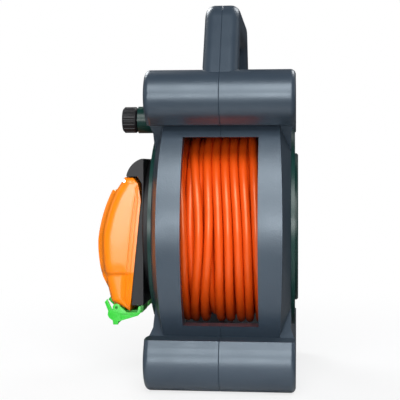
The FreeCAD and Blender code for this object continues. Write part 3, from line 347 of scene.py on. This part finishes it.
def winding_stations():
    """(turns from the gland, how far across, radius) where the winding's shape is set."""
    first_pass = WOUND_TURNS - LAST_PASS_END - len(OUTER_TURNS) + 1
    inner_turns = first_pass + PASS_LOW - CLIMB_TURNS
    travel = sum(abs(end - start) for _, start, end in INNER_LAYERS)
    stations = []
    turns = 0.0
    for radius, start, end in INNER_LAYERS:
        stations.append((turns + (CLIMB_TURNS if turns else 0.0), start, radius))
        turns += inner_turns * abs(end - start) / travel
        stations.append((turns, end, radius))
    for number, (low, halfway, high) in enumerate(OUTER_TURNS):
        stations += [(first_pass + number + PASS_LOW, low, OUTER_RADIUS),
                     (first_pass + number + PASS_HALFWAY, halfway, OUTER_RADIUS),
                     (first_pass + number + PASS_HIGH, high, OUTER_RADIUS)]
    stations.append((WOUND_TURNS, FREE_END_ACROSS, FREE_END_RADIUS))
    return stations


def hermite(t, start, end, slope_out, slope_in):
    """A cubic from start to end with the given slopes at its ends."""
    cube, square = t ** 3, t ** 2
    return ((2 * cube - 3 * square + 1) * start + (cube - 2 * square + t) * slope_out
            + (3 * square - 2 * cube) * end + (cube - square) * slope_in)


def across_slope(stations, place):
    """How fast the cable moves across at a station, from the stations beside it."""
    before = stations[max(0, place - 1)]
    after = stations[min(len(stations) - 1, place + 1)]
    return (after[1] - before[1]) / max(after[0] - before[0], TINY)


def smooth_between(stations, turns):
    """The across and radius at some number of turns, easing through the stations."""
    index = 0
    while index < len(stations) - 2 and turns > stations[index + 1][0]:
        index += 1
    here, there = stations[index], stations[index + 1]
    span = there[0] - here[0]
    t = (turns - here[0]) / span
    if span > LONG_RUN_TURNS:
        slopes = [there[1] - here[1]] * 2
    else:
        slopes = [across_slope(stations, place) * span for place in (index, index + 1)]
    return hermite(t, here[1], there[1], *slopes), hermite(t, here[2], there[2], 0.0, 0.0)


def winding_points():
    """The wound cable from the gland outwards, layer by layer, ending where the free end starts."""
    stations = winding_stations()
    count = int(WOUND_TURNS * TURN_POINTS)
    points = []
    for index in range(count + 1):
        turns = WOUND_TURNS * index / count
        across, radius = smooth_between(stations, turns)
        radius /= CHORD_FACTOR
        angle = math.radians(GLAND_ANGLE) + turns * 2 * math.pi
        points.append(AXLE + Vector((across, radius * math.sin(angle), radius * math.cos(angle))) * MM)
    return points


def make_cables(materials):
    winding = cable_curve("wound_cable", winding_points(), materials["cable_orange"])
    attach(winding, "drum")
    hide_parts("cable_winding")
    winding_points()[0]
    route = [Vector(point) * MM for point in TAIL_ROUTE]
    tail = cable_curve("free_cable", route, materials["cable_orange"])
    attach(tail, "casing")
    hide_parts("cable_tail")


# ---------------------------------------------------------------- mesh helpers
MERGE_DISTANCE = 0.01 * MM
SLIVER_LENGTH = 0.005 * MM
# In degrees: the smallest angle that shades as an edge, and the smallest that a bevel rounds.
SHARP_ANGLE = 38.0
BEVEL_ANGLE = 30.0


def arc_points(start, end, radius, side, steps):
    """Points after start, up to end, on an arc that bulges to the left (side 1) or the right (-1)."""
    start, end = Vector(start), Vector(end)
    chord = end - start
    half = chord.length / 2
    left = Vector((-chord.y, chord.x)).normalized() * side
    centre = (start + end) / 2 - left * math.sqrt(radius ** 2 - half ** 2)
    sweep = 2 * math.asin(half / radius) * -side
    arm = start - centre
    points = []
    for step in range(1, steps + 1):
        turn = Matrix.Rotation(sweep * step / steps, 2)
        points.append(tuple(centre + turn @ arm))
    return points


def walk(corners):
    """A polyline from corners (x, z) or (x, z, radius, side, steps), where an arc follows the corner."""
    points = [tuple(corners[0][:2])]
    for here, there in zip(corners, corners[1:]):
        if len(here) == 2:
            points.append(tuple(there[:2]))
        else:
            points += arc_points(points[-1], there[:2], *here[2:])
    return points


def resample(points, count):
    """The same polyline as evenly spaced points."""
    lengths = [0.0]
    for here, there in zip(points, points[1:]):
        lengths.append(lengths[-1] + (Vector(there) - Vector(here)).length)
    result = []
    index = 0
    for step in range(count):
        wanted = lengths[-1] * step / (count - 1)
        while index < len(points) - 2 and lengths[index + 1] < wanted:
            index += 1
        share = (wanted - lengths[index]) / (lengths[index + 1] - lengths[index])
        result.append(Vector(points[index]).lerp(Vector(points[index + 1]), share))
    return result


def prism(mesh, outline, near, far, holes=()):
    """Adds to a bmesh the solid between two planes across Y. Outlines are in millimetres, (x, z)."""
    loops = [list(outline)] + [list(hole) for hole in holes]
    flat = [[Vector((x, 0.0, z)) for x, z in loop] for loop in loops]
    triangles = geometry.tessellate_polygon(flat)
    corners = [corner for loop in flat for corner in loop]
    layers = [[mesh.verts.new(Vector((c.x, y, c.z)) * MM) for c in corners] for y in (near, far)]
    for triangle in triangles:
        mesh.faces.new([layers[0][i] for i in triangle])
        mesh.faces.new([layers[1][i] for i in reversed(triangle)])
    first = 0
    for loop in loops:
        count = len(loop)
        for i in range(count):
            a, b = first + i, first + (i + 1) % count
            mesh.faces.new([layers[0][a], layers[0][b], layers[1][b], layers[1][a]])
        first += count


def smooth_mesh(data):
    data.shade_smooth()
    data.set_sharp_from_angle(angle=math.radians(SHARP_ANGLE))


def finish_object(name, mesh):
    """Turns a bmesh into a linked object with outward faces."""
    bmesh.ops.remove_doubles(mesh, verts=mesh.verts, dist=MERGE_DISTANCE)
    bmesh.ops.dissolve_degenerate(mesh, edges=mesh.edges, dist=SLIVER_LENGTH)
    bmesh.ops.recalc_face_normals(mesh, faces=mesh.faces)
    data = bpy.data.meshes.new(name)
    mesh.to_mesh(data)
    mesh.free()
    smooth_mesh(data)
    item = bpy.data.objects.new(name, data)
    bpy.context.scene.collection.objects.link(item)
    return item


def apply_modifiers(item):
    bpy.context.view_layer.update()
    evaluated = item.evaluated_get(bpy.context.evaluated_depsgraph_get())
    data = bpy.data.meshes.new_from_object(evaluated)
    item.modifiers.clear()
    item.data = data
    smooth_mesh(data)


def cut_with(item, tools, operation="DIFFERENCE"):
    """Applies one boolean for each tool and removes the tools."""
    for tool in tools:
        modifier = item.modifiers.new("cut", "BOOLEAN")
        modifier.operation = operation
        modifier.solver = "EXACT"
        modifier.object = tool
    apply_modifiers(item)
    for tool in tools:
        bpy.data.objects.remove(tool)


def bevel(item, width, segments):
    """Rounds the edges. The width is in millimetres."""
    modifier = item.modifiers.new("bevel", "BEVEL")
    modifier.width = width * MM
    modifier.segments = segments
    modifier.limit_method = "ANGLE"
    modifier.angle_limit = math.radians(BEVEL_ANGLE)
    apply_modifiers(item)


def take_mesh(item, material):
    """Removes an object and keeps its mesh, which then has one material."""
    data = item.data
    data.materials.clear()
    data.materials.append(material)
    bpy.data.objects.remove(item)
    return data


# ---------------------------------------------------------------- socket covers
# A cover's section is (distance out from the casing, height from the drum axis), in millimetres.
COVER_OUTER = [(83.9, 44.3), (88.8, 50.7), (97.6, 50.8), (105.4, 39.0, 140, 1, 18), (119.8, -7.6, 221, 1, 26),
               (111.3, -72.2), (93.0, -81.0), (91.7, -81.0)]
COVER_RIM = [(83.9, 44.3), (81.0, 27.7), (91.7, -81.0)]
COVER_CREST = [(105.6, 38.6), (112.0, 35.6, 140, 1, 16), (125.8, -12.0, 110, 1, 16), (120.8, -48.0),
               (113.6, -62.0)]
COVER_HALF_WIDTH = 31.0
LOWER_HALF_WIDTH = 27.2
CREST_HALF_WIDTH = 22.0
# Below these heights the pillowed upper part rounds off, and ends.
ROUND_OFF_HEIGHT, ROUND_OFF_LENGTH = -32.0, 15.0
PILLOW_END, PILLOW_END_BLEND = -47.0, 3.0
# The outer edges' rounding, outwards and across, and the largest share of a section's reach that it takes.
EDGE_ROUNDING = (9.0, 6.5)
ROUNDING_SHARE = 0.45
# The lip's grooves, as distance out from the rim and depth. A shallow section has them closer together.
LIP_STEPS = [(0.0, 0.0), (2.6, 0.0), (3.0, 0.55), (3.4, 0.55), (3.8, 0.1), (6.4, 0.25), (6.8, 0.8),
             (7.3, 0.8), (7.8, 0.15), (9.5, 0.0), (12.0, 0.0)]
FULL_LIP_REACH = 13.0
# The lip is as wide as the upper part everywhere. Below, the wall steps in from it, over this distance.
STEP_START, STEP_LENGTH = 8.5, 3.0
LOWER_DRAFT, DRAFT_REACH = 0.25, 9.0
# The raised middle's flank starts this far outside its half width, and is this wide.
CREST_FLANK_START, CREST_FLANK_WIDTH = 1.5, 4.5
# How finely the mesh is divided: rows down the cover, and columns on each part of a row.
COVER_ROWS, WALL_COLUMNS, EDGE_COLUMNS, MIDDLE_COLUMNS = 110, 4, 7, 10
# What is added to the shell and cut from it: outlines like the section's, and half widths.
LUGS = ([(109.2, -68), (109.2, -77.1, 4.5001, -1, 12), (100.2, -77.1), (100.2, -68)], 19.5)
PLUG_SPACE = ([(75, -57), (109, -57, 218, -1, 12), (117.0, -7.6, 137, -1, 10), (102.8, 37), (75, 37)], 25.4)
CREST_SPACE = ([(100, -54), (112.5, -54), (118.0, -45, 160, -1, 10), (122.6, -10, 150, -1, 10), (109.5, 34),
                (100, 34)], 18.0)
LATCH_NOTCH = ([(130, -90), (130, -56), (97, -56), (97, -90)], 15.5)
HINGE_NOTCH = ([(130, 40), (130, 60), (80, 60), (80, 40)], 5.5)


def crest_rise(crest, point):
    """How far the raised middle's outline stands off the outer face at one of that face's points."""
    if point.y > crest[0][1] or point.y < crest[-1][1]:
        return 0.0
    for here, there in zip(crest, crest[1:]):
        if there[1] <= point.y <= here[1] or here[1] <= point.y <= there[1]:
            share = (point.y - here[1]) / ((there[1] - here[1]) or TINY)
            return max(0.0, here[0] + share * (there[0] - here[0]) - point.x)
    return 0.0


def half_section(reach, height, rise):
    """From a cover's rim up its wall and over to its middle: (distance out from the rim, distance across)."""
    rounding = min(EDGE_ROUNDING[0], ROUNDING_SHARE * reach)
    flat = reach - rounding
    pillow = smooth_step((height - PILLOW_END) / PILLOW_END_BLEND)
    round_off = max(0.0, min(1.0, (ROUND_OFF_HEIGHT - height) / ROUND_OFF_LENGTH))
    half_width = (LOWER_HALF_WIDTH + (COVER_HALF_WIDTH - LOWER_HALF_WIDTH)
                  * math.sqrt(max(0.0, 1 - round_off ** 2)) * pillow)
    squeeze = min(1.0, max(0.0, flat) / FULL_LIP_REACH)
    points = []
    for away, depth in LIP_STEPS:
        share = smooth_step((away - STEP_START) / STEP_LENGTH)
        width = COVER_HALF_WIDTH * (1 - share) + half_width * share
        draft = (1 - pillow) * LOWER_DRAFT * min(away, DRAFT_REACH) * (1 - share)
        points.append((away * squeeze, width - depth * squeeze - draft))
    if flat > FULL_LIP_REACH:
        lip_end = LIP_STEPS[-1][0]
        for step in range(1, WALL_COLUMNS + 1):
            points.append((lip_end + (flat - lip_end) * step / WALL_COLUMNS, half_width))
    else:
        points += [(flat, half_width)] * WALL_COLUMNS
    for step in range(1, EDGE_COLUMNS + 1):
        turn = math.radians(90 * step / EDGE_COLUMNS)
        drop = EDGE_ROUNDING[1] * (1 - math.cos(turn))
        points.append((flat + rounding * math.sin(turn), half_width - drop))
    edge = half_width - EDGE_ROUNDING[1]
    for step in range(1, MIDDLE_COLUMNS + 1):
        across = edge * (1 - step / MIDDLE_COLUMNS)
        share = smooth_step((CREST_HALF_WIDTH + CREST_FLANK_START - across) / CREST_FLANK_WIDTH)
        points.append((reach + rise * share, across))
    return points


def cover_shell(name):
    """A cover's outside: lipped walls, a pillowed upper part, rounded edges, a raised middle, a flat back."""
    crest = walk(COVER_CREST)
    mesh = bmesh.new()
    rows = []
    for outside, inside in zip(resample(walk(COVER_OUTER), COVER_ROWS), resample(COVER_RIM, COVER_ROWS)):
        reach = (outside - inside).length
        direction = (outside - inside).normalized() if reach > TINY else Vector((1.0, 0.0))
        half = [(inside + direction * away, across)
                for away, across in half_section(reach, outside.y, crest_rise(crest, outside))]
        whole = [(spot, -across) for spot, across in half] + list(reversed(half[:-1]))
        rows.append([mesh.verts.new(Vector((-spot.x, across, spot.y)) * MM) for spot, across in whole])
    for upper, lower in zip(rows, rows[1:]):
        for i in range(len(upper) - 1):
            mesh.faces.new([upper[i], upper[i + 1], lower[i + 1], lower[i]])
        if upper is rows[0]:
            mesh.faces.new(upper + [lower[-1], lower[0]])
        elif lower is rows[-1]:
            mesh.faces.new([upper[-1], upper[0]] + lower)
        else:
            mesh.faces.new([upper[-1], upper[0], lower[0], lower[-1]])
    return finish_object(name, mesh)


def block(name, corners, half_width):
    """A solid whose outline is given like a cover's section."""
    mesh = bmesh.new()
    prism(mesh, [(-out, height) for out, height in walk(corners)], -half_width, half_width)
    return finish_object(name, mesh)


def make_cover_mesh(material):
    cover = cover_shell("cover_master")
    cut_with(cover, [block("lugs", *LUGS)], "UNION")
    cut_with(cover, [block("plug_space", *PLUG_SPACE), block("crest_space", *CREST_SPACE),
                     block("latch_notch", *LATCH_NOTCH), block("hinge_notch", *HINGE_NOTCH)])
    return take_mesh(cover, material)


# ---------------------------------------------------------------- latches
# Outlines are (x, z) from the pivot, in millimetres. Each cheek and web has a mirrored twin.
LATCH_PIVOT = Vector((-104.7, 0.0, 72.9)) * MM
LATCH_CHEEK = [(24.0, 1.4), (21.9, 1.4), (20.6, -4.4), (10.4, -4.6), (4.0, 1.0, 4.2, -1, 10), (-3.6, 1.6),
               (-3.9, -2.6), (-9.3, 8.4), (-11.6, 5.2), (-8.2, -3.2), (-8.7, -7.2), (-7.2, -10.2),
               (-3.6, -12.8), (-3.2, -16.6), (1.6, -16.6), (1.9, -13.6), (21.4, -7.6), (23.9, -5.0)]
CHEEK_OPENING = [(4.2, -5.9), (17.8, -6.4), (4.2, -11.2)]
CHEEK_ACROSS = (31.3, 33.2)
LATCH_WEB = [(3.4, -5.2), (19.4, -5.8), (3.4, -12.2)]
WEB_ACROSS = (31.5, 32.2)
LATCH_CORE = [(23.8, 1.5), (21.6, 1.5), (20.6, -4.7), (5.0, -4.7), (3.0, 2.7, 4.2, -1, 8), (-3.0, 2.7),
              (-9.6, 8.0), (-11.4, 5.6), (-3.9, -1.6), (-2.6, -16.4), (0.8, -16.4), (3.0, -7.2), (22.6, -7.2),
              (23.8, -5.0)]
CORE_HALF_WIDTH = 15.0
LATCH_BAR = [(-3.0, -9.6), (-2.4, -16.4), (0.8, -16.4), (2.2, -9.6)]
BAR_HALF_WIDTH = 31.6
LATCH_BEVEL, LATCH_BEVEL_SEGMENTS = 0.45, 3


def make_latch_mesh(material):
    """Two cheeks outside the cover with a thin web in each, a core between the cover's lugs, and a bar."""
    mesh = bmesh.new()
    cheek = walk(LATCH_CHEEK)
    for side in (-1, 1):
        prism(mesh, cheek, *[side * across for across in CHEEK_ACROSS], [CHEEK_OPENING])
        prism(mesh, LATCH_WEB, *[side * across for across in WEB_ACROSS])
    prism(mesh, walk(LATCH_CORE), -CORE_HALF_WIDTH, CORE_HALF_WIDTH)
    prism(mesh, LATCH_BAR, -BAR_HALF_WIDTH, BAR_HALF_WIDTH)
    latch = finish_object("latch_master", mesh)
    bevel(latch, LATCH_BEVEL, LATCH_BEVEL_SEGMENTS)
    return take_mesh(latch, material)


# ---------------------------------------------------------------- both gangs
GANG_CENTRES = {"front": -34.0, "rear": 34.0}


def place_copy(name, data, place):
    """An object at the origin, like a CAD node, whose own mesh is a copy moved to its place."""
    copy = data.copy()
    copy.name = name
    copy.transform(Matrix.Translation(place))
    item = bpy.data.objects.new(name, copy)
    bpy.context.scene.collection.objects.link(item)
    return item


def make_covers_and_latches(materials):
    cover_data = make_cover_mesh(materials["cover_orange"])
    latch_data = make_latch_mesh(materials["latch_green"])
    for gang, centre in GANG_CENTRES.items():
        cover = place_copy(f"{gang}_cover_skin", cover_data, AXLE + Vector((0.0, centre, 0.0)) * MM)
        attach(cover, f"{gang}_cover")
        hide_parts(f"{gang}_cover")
        latch = place_copy(f"{gang}_latch_skin", latch_data, LATCH_PIVOT + Vector((0.0, centre, 0.0)) * MM)
        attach(latch, f"{gang}_latch")
        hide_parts(f"{gang}_latch")


make_camera()
MATERIALS = make_materials()
make_cables(MATERIALS)
make_covers_and_latches(MATERIALS)
make_lights()
make_floor()
dress_nodes(MATERIALS)
